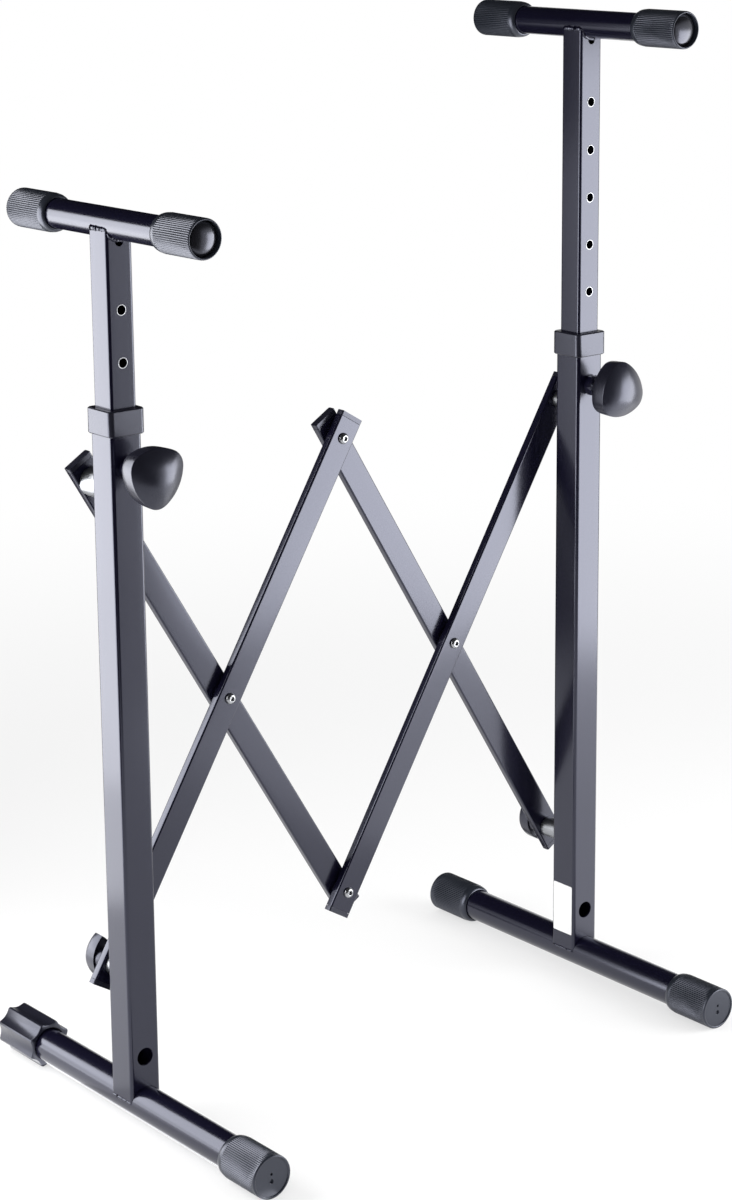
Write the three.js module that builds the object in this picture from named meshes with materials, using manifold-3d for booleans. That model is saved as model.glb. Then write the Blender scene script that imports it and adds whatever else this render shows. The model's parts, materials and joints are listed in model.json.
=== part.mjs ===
// Folding keyboard stand: two upright stands joined by a double scissor.
//
// Millimetres, +Z up, floor at z = 0. X runs from the left stand to the right stand, -Y is the side of
// the height knobs, and the origin is on the floor midway between the two columns.
//
// Every pivot, foot, top bar, cap and knob is round about Y, which is also the axis that three.js
// revolves a profile about, so the turned pieces need no rotation of their own.

import * as THREE from 'three';
import { mergeVertices } from 'three/addons/utils/BufferGeometryUtils.js';
import Module from 'manifold-3d';

const wasm = await Module();
wasm.setup();

// ---------------------------------------------------------------- driving dimensions

// Scissor
const STAND_SPACING = 515; // between the column centrelines, as opened here
const LINK_LENGTH = 496; // first pivot to last pivot
const FOLDED_ANGLE = THREE.MathUtils.degToRad(85.5); // link slope when folded flat
const WIDEST_ANGLE = THREE.MathUtils.degToRad(40); // link slope when opened widest
const FOLDED_SLIDE_HEIGHT = 61.5; // lower pivots above the floor when folded
const LINK_WIDTH = 25;
const LINK_THICKNESS = 8;
const LINK_WALL = 1.2;
const LINK_CORNER = 1.6;
const LINK_OVERHANG = 22; // pivot to the outer face of the end plug
const LINK_PLUG_FLANGE = 4.2;
const LINK_PLUG_TONGUE = 9;
const LINK_PLUG_CORNER = 0.6;
const COLUMN_TO_LINK = 12.2; // column back to the front pair of links
const LINK_PLANE_GAP = 2.5; // between the front pair and the rear pair

// Stand
const COLUMN_SIZE = 30;
const COLUMN_WALL = 2;
const COLUMN_CORNER = 3;
const FOOT_TUBE_DIAMETER = 30;
const FOOT_TUBE_WALL = 2;
const FOOT_LENGTH = 384; // over the caps
const LOCK_ABOVE_PIVOT = 20; // height screw above the upper link pivot
const COLUMN_ABOVE_LOCK = 45;
const ACCESS_HOLE_DIAMETER = 16;

// Collar on the column
const COLLAR_WALL = 2.2;
const COLLAR_HEIGHT = 21.5;
const COLLAR_LIP = 3;
const COLLAR_CORNER = 4.5;
const COLLAR_EDGE = 0.9;

// Telescoping mast and its top bar
const MAST_CLEARANCE = 0.5; // to the inside of the column, each side
const MAST_WALL = 1.5;
const MAST_CORNER = 2.5;
const BAR_DIAMETER = 25;
const BAR_WALL = 1.5;
const BAR_LENGTH = 258; // over the sleeves
const HOLE_COUNT = 8;
const HOLE_PITCH = 43;
const HOLE_DIAMETER = 8;
const VENT_HOLE_DROP = 14; // below the axis of the top bar; the bar half covers it
const FIRST_HOLE_DROP = 69;
const MAST_TAIL = 22; // below the last hole
const LEFT_HOLE = 3; // hole that the lock screw holds, counted from 0 at the top
const RIGHT_HOLE = 6;
const GLIDE_FLANGE = 3;
const GLIDE_TONGUE = 14;
const GLIDE_WALL = 2;

// Rubber caps and sleeves
const CAP_LENGTH = 52;
const CAP_WALL = 3.85;
const CAP_END = 4;
const CAP_RECESS = 1;
const SLEEVE_LENGTH = 54;
const SLEEVE_WALL = 3.8;
const SHOULDER_LENGTH = 6;
const RUBBER_BEVEL = 1.4;
const BAR_PLUG_SETBACK = 7; // end of the bar inside the mouth of its sleeve
const BAR_PLUG_STEM = 12;
const BAR_PLUG_FLANGE = 1.2;
const BAR_PLUG_DOME = 5.2;

// Eight-pointed levelling cap, bored off centre
const STAR_LENGTH = 54;
const STAR_INSET = 2; // its end falls short of the line of the other caps
const STAR_POINTS = 8;
const STAR_ECCENTRICITY = 1;
const STAR_SCALLOP = 1.7; // dip of each hollow below the straight line between two points
const STAR_POINT_ANGLE = THREE.MathUtils.degToRad(4.5); // spanned by each blunt point

// Fasteners
const STAND_BOLT_DIAMETER = 8;
const PIVOT_SCREW_DIAMETER = 6;
const PIVOT_HEAD_DIAMETER = 10;
const PIVOT_HEAD_HEIGHT = 3;
const PIVOT_NUT_WIDTH = 10;
const PIVOT_NUT_HEIGHT = 4.5;
const WASHER_DIAMETER = 22;
const UPPER_HEAD_DIAMETER = 14;
const UPPER_HEAD_HEIGHT = 5;
const LEFT_UPPER_SPACER_DIAMETER = 25;
const RIGHT_UPPER_SPACER_DIAMETER = 16;
const SLIDE_SPACER_DIAMETER = 19;
const SLIDE_HEAD_DIAMETER = 20;
const SLIDE_HEAD_HEIGHT = 4;
const LOCK_SCREW_DIAMETER = 10;
const LOCK_NUT_WIDTH = 17;
const LOCK_NUT_HEIGHT = 9;

// Height knob: a triangle with round corners and bowed sides
const HEIGHT_KNOB_STANDOFF = 26; // column face to the back of the knob
const HEIGHT_KNOB_REACH = 27.2; // axis to the tip of a corner
const HEIGHT_KNOB_WAIST = 23.4; // axis to the middle of a side
const HEIGHT_KNOB_BOW = 16; // from the centre of a side's arc to the axis
const HEIGHT_KNOB_BAND = 16;
const HEIGHT_KNOB_DOME = 8.6;
const HEIGHT_KNOB_EDGE = 1;
const HEIGHT_KNOB_HUB_RADIUS = 9;
const HEIGHT_KNOB_HUB = 9;
const HEIGHT_KNOB_BORE = 9;
const LEFT_KNOB_TURN = THREE.MathUtils.degToRad(59); // from one corner straight up
const RIGHT_KNOB_TURN = THREE.MathUtils.degToRad(7);

// Eye-shaped clamp knob on the slide bolt
const CLAMP_KNOB_ARC = 25; // radius of the two arcs that meet in the tips
const CLAMP_KNOB_HALF_WIDTH = 10.5;
const CLAMP_KNOB_THICKNESS = 12;
const CLAMP_KNOB_HUB_RADIUS = 9;
const CLAMP_KNOB_HUB = 9;
const CLAMP_KNOB_DISH = 2.5;
const CLAMP_KNOB_RIM = 1.6;
const CLAMP_KNOB_EDGE = 1.5;
const CLAMP_KNOB_CROWN = 1;
const CLAMP_KNOB_BORE = 16;
const LEFT_CLAMP_TURN = 0; // from one tip straight up
const RIGHT_CLAMP_TURN = THREE.MathUtils.degToRad(13);

// Fits and facets
const CLEARANCE = 0.3;
const ROUND_SEGMENTS = 20; // tubes, caps and sleeves; a multiple of 4 puts a flat at top and bottom
const SMALL_SEGMENTS = 12; // bolts, holes and washers
const KNOB_SEGMENTS = 30;
const CORNER_SEGMENTS = 3; // round corners of the stands
const LINK_CORNER_SEGMENTS = 2;

// ---------------------------------------------------------------- derived layout

const upperPivotHeight = FOLDED_SLIDE_HEIGHT + LINK_LENGTH * Math.sin(FOLDED_ANGLE);
const slideHeight = (slope) => upperPivotHeight - LINK_LENGTH * Math.sin(slope);
const restAngle = Math.acos(STAND_SPACING / 2 / LINK_LENGTH);
const lowerPivotHeight = slideHeight(restAngle);
const lockHeight = upperPivotHeight + LOCK_ABOVE_PIVOT;
const columnTop = lockHeight + COLUMN_ABOVE_LOCK;
const columnHalf = COLUMN_SIZE / 2;
const columnInner = COLUMN_SIZE - 2 * COLUMN_WALL;
const mastSize = columnInner - 2 * MAST_CLEARANCE;
const mastLength = FIRST_HOLE_DROP + (HOLE_COUNT - 1) * HOLE_PITCH + MAST_TAIL;

const footRadius = FOOT_TUBE_DIAMETER / 2;
const capRadius = footRadius + CLEARANCE + CAP_WALL;
const footAxisHeight = capRadius * Math.cos(Math.PI / ROUND_SEGMENTS);
const barRadius = BAR_DIAMETER / 2;
const sleeveRadius = barRadius + CLEARANCE + SLEEVE_WALL;

const planeAt = (front) => ({ front, middle: front + LINK_THICKNESS / 2, back: front + LINK_THICKNESS });
const frontPlane = planeAt(columnHalf + COLUMN_TO_LINK);
const rearPlane = planeAt(frontPlane.back + LINK_PLANE_GAP);

// ---------------------------------------------------------------- solids and booleans

// A closed solid from any geometry: corners welded, collapsed faces dropped, faces turned outward.
function toSolid(geometry) {
  const bare = new THREE.BufferGeometry();
  bare.setAttribute('position', geometry.getAttribute('position'));
  bare.setIndex(geometry.getIndex());
  const welded = mergeVertices(bare, 1e-4);
  const vertProperties = new Float32Array(welded.getAttribute('position').array);
  const corners = welded.getIndex().array;
  const faces = [];
  for (let i = 0; i < corners.length; i += 3) {
    const [a, b, c] = corners.slice(i, i + 3);
    if (a !== b && b !== c && c !== a) faces.push([a, b, c]);
  }
  const point = (index) => new THREE.Vector3().fromArray(vertProperties, 3 * index);
  const volume = faces.reduce((sum, [a, b, c]) => sum + point(a).dot(point(b).cross(point(c))), 0);
  const outward = volume > 0 ? faces : faces.map(([a, b, c]) => [a, c, b]);
  const triVerts = new Uint32Array(outward.flat());
  return new wasm.Manifold(new wasm.Mesh({ numProp: 3, vertProperties, triVerts }));
}

function toGeometry(solid) {
  const { vertProperties, triVerts } = solid.getMesh();
  const geometry = new THREE.BufferGeometry();
  geometry.setAttribute('position', new THREE.BufferAttribute(vertProperties, 3));
  geometry.setIndex(new THREE.BufferAttribute(triVerts, 1));
  geometry.computeVertexNormals();
  return geometry;
}

const cut = (body, ...tools) =>
  toGeometry(tools.reduce((solid, tool) => solid.subtract(toSolid(tool)), toSolid(body)));
const join = (body, ...others) =>
  toGeometry(others.reduce((solid, other) => solid.add(toSolid(other)), toSolid(body)));

// ---------------------------------------------------------------- profiles and basic forms

function roundedSquare(width, depth, radius) {
  const [x, y] = [width / 2 - radius, depth / 2 - radius];
  const shape = new THREE.Shape();
  shape.absarc(x, y, radius, 0, Math.PI / 2);
  shape.absarc(-x, y, radius, Math.PI / 2, Math.PI);
  shape.absarc(-x, -y, radius, Math.PI, 1.5 * Math.PI);
  shape.absarc(x, -y, radius, 1.5 * Math.PI, 2 * Math.PI);
  return shape;
}

// A bar of the given section from z = from to z = to.
function bar(shape, from, to, curveSegments = CORNER_SEGMENTS) {
  const geometry = new THREE.ExtrudeGeometry(shape, { depth: to - from, bevelEnabled: false, curveSegments });
  return geometry.translate(0, 0, from);
}

// The hollow of a rectangular tube along Z; the corner radius shrinks by the wall.
function boreOf(width, depth, corner, wall, from, to) {
  const inner = roundedSquare(width - 2 * wall, depth - 2 * wall, Math.max(corner - wall, 0.4));
  return bar(inner, from - 1, to + 1, 1);
}

// A profile of [radius, y] pairs revolved about Y, with a flat facet at the top and at the bottom.
function turned(profile, segments = ROUND_SEGMENTS) {
  const points = profile.map(([radius, y]) => new THREE.Vector2(radius, y));
  return new THREE.LatheGeometry(points, segments, Math.PI / segments);
}

const rod = (radius, from, to, segments = SMALL_SEGMENTS) =>
  turned([[0, from], [radius, from], [radius, to], [0, to]], segments);

const ring = (inner, outer, from, to, segments = SMALL_SEGMENTS) =>
  turned([[inner, from], [outer, from], [outer, to], [inner, to], [inner, from]], segments);

// A hexagon across its flats, extruded along Y.
function hexagon(width, from, to) {
  const radius = width / 2 / Math.cos(Math.PI / 6);
  return rod(radius, from, to, 6);
}

// Points of a quarter ellipse from [radius - depth, y] to [radius, y + length].
function shoulder(radius, depth, y, length) {
  return [0, 1, 2, 3].map((step) => {
    const angle = (step * Math.PI) / 6;
    return [radius - depth * (1 - Math.sin(angle)), y + length * (1 - Math.cos(angle))];
  });
}

// A turned form whose radii beyond the hub follow an outline: the radius by the angle from +Z.
function shapedKnob(profile, hubRadius, rimRadius, outline) {
  const points = profile.map(([radius, y]) => new THREE.Vector2(radius, y));
  const geometry = new THREE.LatheGeometry(points, KNOB_SEGMENTS);
  const position = geometry.getAttribute('position');
  for (let i = 0; i < position.count; i += 1) {
    const [x, z] = [position.getX(i), position.getZ(i)];
    const radius = Math.hypot(x, z);
    if (radius <= hubRadius) continue;
    const reach = (outline(Math.atan2(x, z)) - hubRadius) / (rimRadius - hubRadius);
    const scale = (hubRadius + (radius - hubRadius) * reach) / radius;
    position.setX(i, x * scale);
    position.setZ(i, z * scale);
  }
  return geometry;
}

// ---------------------------------------------------------------- finishes

const finish = (name, color, roughness, metalness) =>
  new THREE.MeshStandardMaterial({ name, color, roughness, metalness });
const coatedSteel = finish('coated_steel', 0x1c1d22, 0.38, 0.4);
const rubber = finish('rubber', 0x2b2d31, 0.85, 0);
const plastic = finish('plastic', 0x26272b, 0.6, 0);
const glossPlastic = finish('gloss_plastic', 0x101114, 0.25, 0);
const spacerSteel = finish('spacer_steel', 0x8f9298, 0.35, 0.9);
const zinc = finish('zinc', 0xc9ccd2, 0.25, 1);

function place(group, name, geometry, material, x = 0, y = 0, z = 0) {
  const mesh = new THREE.Mesh(toGeometry(toSolid(geometry)), material);
  mesh.name = name;
  mesh.position.set(x, y, z);
  group.add(mesh);
}

// ---------------------------------------------------------------- stand: foot, column, collar

// The tube stops short of the closed end of each cap.
function footTube() {
  const half = FOOT_LENGTH / 2 - CAP_END - CLEARANCE;
  return ring(footRadius - FOOT_TUBE_WALL, footRadius, -half, half, ROUND_SEGMENTS);
}

// Square tube coped over the foot, with the access and lock-screw holes in front and the pivot hole
// and the slot of the slide bolt at the back.
function column() {
  const section = [COLUMN_SIZE, COLUMN_SIZE, COLUMN_CORNER];
  const tube = bar(roundedSquare(...section), footAxisHeight, columnTop);
  const hollow = boreOf(...section, COLUMN_WALL, footAxisHeight, columnTop);
  const cope = rod(footRadius + CLEARANCE, -COLUMN_SIZE, COLUMN_SIZE, ROUND_SEGMENTS);
  cope.translate(0, 0, footAxisHeight);
  const access = rod(ACCESS_HOLE_DIAMETER / 2, -COLUMN_SIZE, 0, ROUND_SEGMENTS);
  access.translate(0, 0, FOLDED_SLIDE_HEIGHT);
  const lock = rod(LOCK_SCREW_DIAMETER / 2 + CLEARANCE, -COLUMN_SIZE, 0).translate(0, 0, lockHeight);
  const pivot = rod(STAND_BOLT_DIAMETER / 2 + CLEARANCE, 0, COLUMN_SIZE).translate(0, 0, upperPivotHeight);
  return cut(tube, hollow, cope, access, lock, pivot, slideSlot());
}

// Upright slot with round ends for the whole travel of the slide bolt.
function slideSlot() {
  const radius = STAND_BOLT_DIAMETER / 2 + CLEARANCE;
  const [low, high] = [slideHeight(FOLDED_ANGLE), slideHeight(WIDEST_ANGLE)];
  const shape = new THREE.Shape();
  shape.absarc(0, high, radius, 0, Math.PI);
  shape.absarc(0, low, radius, Math.PI, 2 * Math.PI);
  return bar(shape, -COLUMN_SIZE, 0, SMALL_SEGMENTS / 2).rotateX(Math.PI / 2);
}

// Moulded collar that caps the column and guides the mast.
function collar() {
  const inner = COLUMN_SIZE + 2 * CLEARANCE;
  const size = inner + 2 * COLLAR_WALL;
  const shape = roundedSquare(size - 2 * COLLAR_EDGE, size - 2 * COLLAR_EDGE, COLLAR_CORNER - COLLAR_EDGE);
  const body = new THREE.ExtrudeGeometry(shape, {
    depth: COLLAR_HEIGHT - 2 * COLLAR_EDGE,
    bevelSize: COLLAR_EDGE,
    bevelThickness: COLLAR_EDGE,
    bevelSegments: 1,
    curveSegments: CORNER_SEGMENTS,
  }).translate(0, 0, COLLAR_EDGE - COLLAR_HEIGHT);
  const skirt = bar(roundedSquare(inner, inner, COLUMN_CORNER), -COLLAR_HEIGHT - 1, -COLLAR_LIP);
  const mouth = mastSize + 2 * CLEARANCE;
  return cut(body, skirt, bar(roundedSquare(mouth, mouth, MAST_CORNER), -COLLAR_HEIGHT, 1));
}

// ---------------------------------------------------------------- rubber caps, sleeves and bar plugs

// Cup on a foot end: mouth at y = 0, closed end at y = CAP_LENGTH.
function footCap() {
  const bore = footRadius + CLEARANCE;
  return turned([
    [0, CAP_LENGTH - CAP_END],
    [bore, CAP_LENGTH - CAP_END],
    [bore, 0],
    ...shoulder(capRadius, CAP_WALL - 0.6, 0, SHOULDER_LENGTH),
    [capRadius, CAP_LENGTH - RUBBER_BEVEL],
    [capRadius - RUBBER_BEVEL, CAP_LENGTH],
    [capRadius - 3 * RUBBER_BEVEL, CAP_LENGTH],
    [capRadius - 4 * RUBBER_BEVEL, CAP_LENGTH - CAP_RECESS],
    [0, CAP_LENGTH - CAP_RECESS],
  ]);
}

// Sleeve on a bar end: inner mouth at y = 0, open outer end at y = SLEEVE_LENGTH.
function barSleeve() {
  const bore = barRadius + CLEARANCE;
  return turned([
    [bore, 0],
    ...shoulder(sleeveRadius, SLEEVE_WALL - 0.6, 0, SHOULDER_LENGTH),
    [sleeveRadius, SLEEVE_LENGTH - RUBBER_BEVEL],
    [sleeveRadius - RUBBER_BEVEL, SLEEVE_LENGTH],
    [bore, SLEEVE_LENGTH],
    [bore, 0],
  ]);
}

// Domed plug: stem inside the bar below y = 0, flange against its end, dome in the sleeve's mouth.
function barPlug() {
  const stem = barRadius - BAR_WALL - CLEARANCE;
  const dome = [1, 0.78, 0.54, 0.28, 0].map((share) =>
    [barRadius * share, BAR_PLUG_FLANGE + BAR_PLUG_DOME * (1 - share ** 2)]);
  return turned([[0, -BAR_PLUG_STEM], [stem, -BAR_PLUG_STEM], [stem, 0], [barRadius, 0], ...dome]);
}

// Star with hollow flanks, bored off centre for the foot tube, which runs along local x = z = 0.
function levellingCap() {
  const centreHeight = footAxisHeight + STAR_ECCENTRICITY;
  const halfHollow = Math.PI / STAR_POINTS - STAR_POINT_ANGLE / 2;
  const pointRadius = centreHeight / Math.cos(halfHollow);
  const at = (radius, angle) => [radius * Math.cos(angle), radius * Math.sin(angle)];
  const shape = new THREE.Shape();
  for (let i = 0; i < STAR_POINTS; i += 1) {
    const valley = (2 * i * Math.PI) / STAR_POINTS;
    const [start, end] = [valley - halfHollow, valley + halfHollow].map((angle) => at(pointRadius, angle));
    const control = at(centreHeight - 2 * STAR_SCALLOP, valley);
    if (i === 0) shape.moveTo(...start);
    else shape.lineTo(...start);
    shape.quadraticCurveTo(...control, ...end);
  }
  const star = bar(shape, 0, STAR_LENGTH, 4).rotateX(-Math.PI / 2).translate(0, 0, STAR_ECCENTRICITY);
  const depth = STAR_LENGTH - (CAP_END - STAR_INSET);
  return cut(star, rod(footRadius + CLEARANCE, -1, depth, ROUND_SEGMENTS));
}

// ---------------------------------------------------------------- mast, from the bar axis downward

// Square tube coped under the top bar, with a vent hole and the row of height holes in its front face.
function mast() {
  const section = [mastSize, mastSize, MAST_CORNER];
  const tube = bar(roundedSquare(...section), -mastLength, 0);
  const hollow = boreOf(...section, MAST_WALL, -mastLength, 0);
  const cope = rod(barRadius + CLEARANCE, -mastSize, mastSize, ROUND_SEGMENTS);
  const drops = Array.from({ length: HOLE_COUNT }, (_, i) => FIRST_HOLE_DROP + i * HOLE_PITCH);
  const holes = [VENT_HOLE_DROP, ...drops].map((drop) =>
    rod(HOLE_DIAMETER / 2, -mastSize, 0).translate(0, 0, -drop));
  return cut(tube, hollow, cope, ...holes);
}

function topBar() {
  const half = BAR_LENGTH / 2 - BAR_PLUG_SETBACK;
  return ring(barRadius - BAR_WALL, barRadius, -half, half, ROUND_SEGMENTS);
}

// Plastic glide that closes the lower end of the mast and runs in the column.
function mastGlide() {
  const flangeSize = columnInner - 2 * CLEARANCE;
  const tongueSize = mastSize - 2 * MAST_WALL - 2 * CLEARANCE;
  const flange = bar(roundedSquare(flangeSize, flangeSize, COLUMN_CORNER - COLUMN_WALL), -GLIDE_FLANGE, 0);
  const tongue = bar(roundedSquare(tongueSize, tongueSize, MAST_CORNER - MAST_WALL), -1, GLIDE_TONGUE);
  const core = rod(tongueSize / 2 - GLIDE_WALL, -GLIDE_FLANGE - 1, GLIDE_TONGUE + 1).rotateX(Math.PI / 2);
  return cut(join(flange, tongue), core);
}

// ---------------------------------------------------------------- knobs and fasteners

// Lock screw from just clear of the mast, through the welded nut, into the knob.
function lockScrew() {
  const radius = LOCK_SCREW_DIAMETER / 2;
  const tip = -mastSize / 2 - CLEARANCE;
  const end = -columnHalf - HEIGHT_KNOB_STANDOFF - HEIGHT_KNOB_BORE + CLEARANCE;
  return turned([[0, end], [radius, end], [radius, tip - 1], [radius - 1, tip], [0, tip]], SMALL_SEGMENTS);
}

function lockNut() {
  const front = -columnHalf - CLEARANCE;
  const blank = hexagon(LOCK_NUT_WIDTH, front - LOCK_NUT_HEIGHT, front);
  return cut(blank, rod(LOCK_SCREW_DIAMETER / 2 + CLEARANCE, front - LOCK_NUT_HEIGHT - 1, front + 1));
}

// Outline of a triangle with round corners and bowed sides: the distance from the axis by the angle
// from a corner. Each side is an arc about a point beyond the axis, and the corner arcs run on from it.
function bowedTriangle(reach, waist, bow) {
  const third = (2 * Math.PI) / 3;
  const rise = waist + bow - reach;
  const corner = (bow ** 2 - rise ** 2) / (2 * rise - bow);
  const share = (reach - corner) / (rise + corner);
  const contact = Math.atan2(share * bow * Math.sin(third / 2), corner + share * (corner + bow / 2));
  const onArc = (radius, offset, angle) =>
    offset * Math.cos(angle) + Math.sqrt(radius ** 2 - (offset * Math.sin(angle)) ** 2);
  return (angle) => {
    const off = Math.abs(THREE.MathUtils.euclideanModulo(angle + third / 2, third) - third / 2);
    return off <= contact ? onArc(reach - corner, corner, off) : onArc(waist + bow, -bow, third / 2 - off);
  };
}

// Three soft corners, a side band that draws in towards the back, and a domed face.
function heightKnob() {
  const [radius, hub, edge] = [HEIGHT_KNOB_REACH, HEIGHT_KNOB_HUB_RADIUS, HEIGHT_KNOB_EDGE];
  const bore = LOCK_SCREW_DIAMETER / 2 + CLEARANCE;
  const dome = [0.85, 0.65, 0.42, 0.2, 0].map((share) =>
    [radius * share, -HEIGHT_KNOB_BAND - HEIGHT_KNOB_DOME * (1 - share ** 2)]);
  const profile = [
    [0, -HEIGHT_KNOB_BORE],
    [bore, -HEIGHT_KNOB_BORE],
    [bore, HEIGHT_KNOB_HUB],
    [hub - edge, HEIGHT_KNOB_HUB],
    [hub, HEIGHT_KNOB_HUB - 2 * edge],
    [hub, 0],
    [radius * 0.88, 0],
    [radius * 0.94, -edge],
    [radius * 0.97, -3 * edge],
    [radius, -HEIGHT_KNOB_BAND],
    ...dome,
  ];
  return shapedKnob(profile, hub, radius, bowedTriangle(radius, HEIGHT_KNOB_WAIST, HEIGHT_KNOB_BOW));
}

// Two arcs that meet in an upper and a lower tip, on a round hub; the side towards the link is dished.
function clampKnob() {
  const hub = CLAMP_KNOB_HUB_RADIUS;
  const arcOffset = CLAMP_KNOB_ARC - CLAMP_KNOB_HALF_WIDTH;
  const tip = Math.sqrt(CLAMP_KNOB_ARC ** 2 - arcOffset ** 2);
  const outline = (angle) => {
    const [along, across] = [Math.cos(angle), Math.abs(Math.sin(angle))];
    return Math.sqrt(CLAMP_KNOB_ARC ** 2 - (arcOffset * along) ** 2) - arcOffset * across;
  };
  const bore = STAND_BOLT_DIAMETER / 2 + CLEARANCE;
  const [front, back] = [CLAMP_KNOB_HUB, CLAMP_KNOB_HUB + CLAMP_KNOB_THICKNESS];
  const profile = [
    [0, CLAMP_KNOB_BORE],
    [bore, CLAMP_KNOB_BORE],
    [bore, 0],
    [hub, 0],
    [hub, front + CLAMP_KNOB_DISH],
    [tip - CLAMP_KNOB_RIM, front + CLAMP_KNOB_DISH],
    [tip - CLAMP_KNOB_RIM, front],
    [tip, front],
    [tip, back - CLAMP_KNOB_EDGE],
    [tip - CLAMP_KNOB_EDGE, back],
    [0, back + CLAMP_KNOB_CROWN],
  ];
  return shapedKnob(profile, hub, tip, outline);
}

// Button head at y = front, shank through both links and a nut behind them.
function pivotScrew() {
  const radius = PIVOT_SCREW_DIAMETER / 2;
  const head = PIVOT_HEAD_DIAMETER / 2;
  const front = frontPlane.front - CLEARANCE;
  const end = rearPlane.back + CLEARANCE + PIVOT_NUT_HEIGHT + 1;
  const screw = turned([
    [0, front - PIVOT_HEAD_HEIGHT],
    [head * 0.55, front - PIVOT_HEAD_HEIGHT],
    [head * 0.88, front - PIVOT_HEAD_HEIGHT * 0.6],
    [head, front],
    [radius, front],
    [radius, end],
    [0, end],
  ], SMALL_SEGMENTS);
  return join(screw, hexagon(PIVOT_NUT_WIDTH, end - 1 - PIVOT_NUT_HEIGHT, end - 1));
}

// Washer that keeps the two pairs of links apart.
function pivotWasher() {
  const bore = PIVOT_SCREW_DIAMETER / 2 + CLEARANCE;
  return ring(bore, WASHER_DIAMETER / 2, frontPlane.back + CLEARANCE, rearPlane.front - CLEARANCE);
}

// Screw of an upper pivot: domed head behind the link, shank through the back wall of the column.
function upperScrew(plane) {
  const [radius, head] = [STAND_BOLT_DIAMETER / 2, UPPER_HEAD_DIAMETER / 2];
  const seat = plane.back + CLEARANCE;
  const end = columnHalf - COLUMN_WALL + CLEARANCE;
  return turned([
    [0, end],
    [radius, end],
    [radius, seat],
    [head, seat],
    [head, seat + UPPER_HEAD_HEIGHT * 0.3],
    [head * 0.8, seat + UPPER_HEAD_HEIGHT * 0.8],
    [head * 0.4, seat + UPPER_HEAD_HEIGHT],
    [0, seat + UPPER_HEAD_HEIGHT],
  ], SMALL_SEGMENTS);
}

// Spacer between the back of the column and the link of the given plane.
function spacer(diameter, plane) {
  const bore = STAND_BOLT_DIAMETER / 2 + CLEARANCE;
  return ring(bore, diameter / 2, columnHalf + CLEARANCE, plane.front - CLEARANCE, ROUND_SEGMENTS);
}

// Slide bolt: flat head inside the column, shank through the slot and the link into the clamp knob.
function slideBolt(plane) {
  const inside = columnHalf - COLUMN_WALL - CLEARANCE;
  const end = plane.back + CLEARANCE + CLAMP_KNOB_BORE - CLEARANCE;
  const [radius, head] = [STAND_BOLT_DIAMETER / 2, SLIDE_HEAD_DIAMETER / 2];
  return turned([
    [0, inside - SLIDE_HEAD_HEIGHT],
    [head, inside - SLIDE_HEAD_HEIGHT],
    [head, inside],
    [radius, inside],
    [radius, end],
    [0, end],
  ], SMALL_SEGMENTS);
}

// ---------------------------------------------------------------- assemblies

function buildMast(side, hole) {
  const group = new THREE.Group();
  group.position.z = lockHeight + FIRST_HOLE_DROP + hole * HOLE_PITCH;
  place(group, `${side}_mast`, mast(), coatedSteel);
  place(group, `${side}_mast_glide`, mastGlide(), plastic, 0, 0, -mastLength - CLEARANCE);
  place(group, `${side}_top_bar`, topBar(), coatedSteel);
  for (const [end, sign] of [['front', -1], ['rear', 1]]) {
    const mouth = BAR_LENGTH / 2 - SLEEVE_LENGTH;
    const barEnd = BAR_LENGTH / 2 - BAR_PLUG_SETBACK + CLEARANCE;
    place(group, `${side}_${end}_sleeve`, barSleeve().scale(1, sign, 1), rubber, 0, sign * mouth);
    place(group, `${side}_${end}_bar_plug`, barPlug().scale(1, sign, 1), glossPlastic, 0, sign * barEnd);
  }
  return group;
}

function buildStand(side, { x, hole, knobTurn, upperPlane, spacerDiameter }) {
  const group = new THREE.Group();
  group.position.x = x;
  place(group, `${side}_foot_tube`, footTube(), coatedSteel, 0, 0, footAxisHeight);
  place(group, `${side}_column`, column(), coatedSteel);
  place(group, `${side}_collar`, collar(), plastic, 0, 0, columnTop + CLEARANCE + COLLAR_LIP);
  const mouth = FOOT_LENGTH / 2 - CAP_LENGTH;
  place(group, `${side}_front_foot_cap`, footCap().scale(1, -1, 1), rubber, 0, -mouth, footAxisHeight);
  place(group, `${side}_lock_nut`, lockNut(), coatedSteel, 0, 0, lockHeight);
  place(group, `${side}_lock_screw`, lockScrew(), zinc, 0, 0, lockHeight);
  const knobBack = -columnHalf - HEIGHT_KNOB_STANDOFF;
  place(group, `${side}_height_knob`, heightKnob().rotateY(-knobTurn), plastic, 0, knobBack, lockHeight);
  const upperSpacer = spacer(spacerDiameter, upperPlane);
  place(group, `${side}_upper_spacer`, upperSpacer, spacerSteel, 0, 0, upperPivotHeight);
  place(group, `${side}_upper_screw`, upperScrew(upperPlane), zinc, 0, 0, upperPivotHeight);
  group.add(buildMast(side, hole));
  return group;
}

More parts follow.
